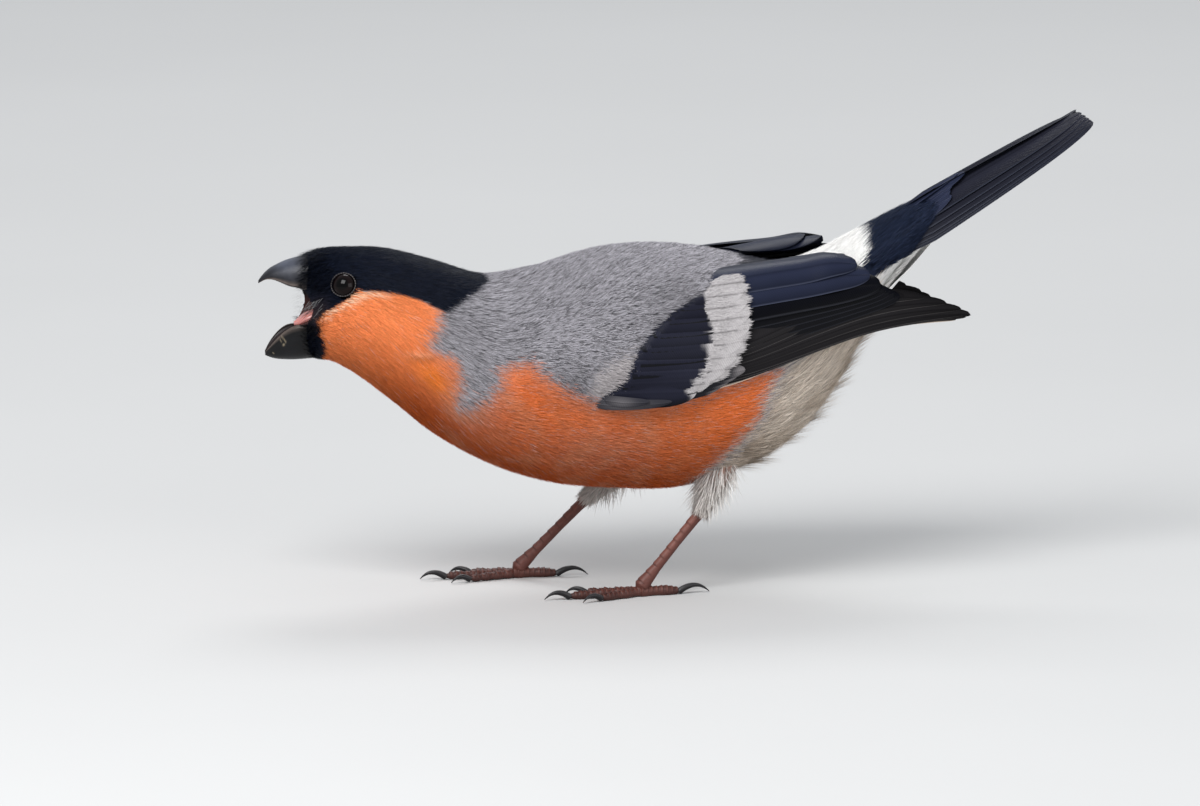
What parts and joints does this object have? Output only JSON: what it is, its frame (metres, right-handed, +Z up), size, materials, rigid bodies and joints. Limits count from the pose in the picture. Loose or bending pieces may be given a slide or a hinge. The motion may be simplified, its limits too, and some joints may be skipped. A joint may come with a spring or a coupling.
{
  "type": "bullfinch",
  "caption": "Life-size still model of a male bullfinch, leaning forward with its bill open and its tail raised.",
  "frame": {"origin": "centre of the bounding box on the floor, under the soles of the feet", "axes": "+Z up, -X the way the bird faces, -Y its left side"},
  "size_m": [0.163, 0.055, 0.0904],
  "materials": {
    "black_cap": "glossy blue-black cap feathers",
    "orange_breast": "soft salmon-orange and ash-grey body feathers",
    "white_rump": "soft white feathers",
    "wing_quill": "glossy blue-black flight feathers",
    "bill_horn": "dark horn, satin",
    "eye_gloss": "glossy dark brown",
    "tongue_pink": "moist pink flesh",
    "thigh_down": "loose greyish down",
    "leg_scale": "brown-pink leg scales, satin",
    "claw_horn": "dark horn, satin"
  },
  "bodies": {
    "root": {"claw_hind_left": "claw_horn", "claw_hind_right": "claw_horn", "claw_inner_left": "claw_horn", "claw_inner_right": "claw_horn", "claw_middle_left": "claw_horn", "claw_middle_right": "claw_horn", "claw_outer_left": "claw_horn", "claw_outer_right": "claw_horn", "eye_left": "eye_gloss", "eye_right": "eye_gloss", "foot_left": "leg_scale", "foot_right": "leg_scale", "head": "black_cap", "lower_bill": "bill_horn", "neck": "orange_breast", "rump": "white_rump", "shank_left": "leg_scale", "shank_right": "leg_scale", "tail": "wing_quill", "thigh_left": "thigh_down", "thigh_right": "thigh_down", "tongue": "tongue_pink", "torso": "orange_breast", "upper_bill": "bill_horn", "wing_left": "wing_quill", "wing_right": "wing_quill"}
  },
  "joints": []
}
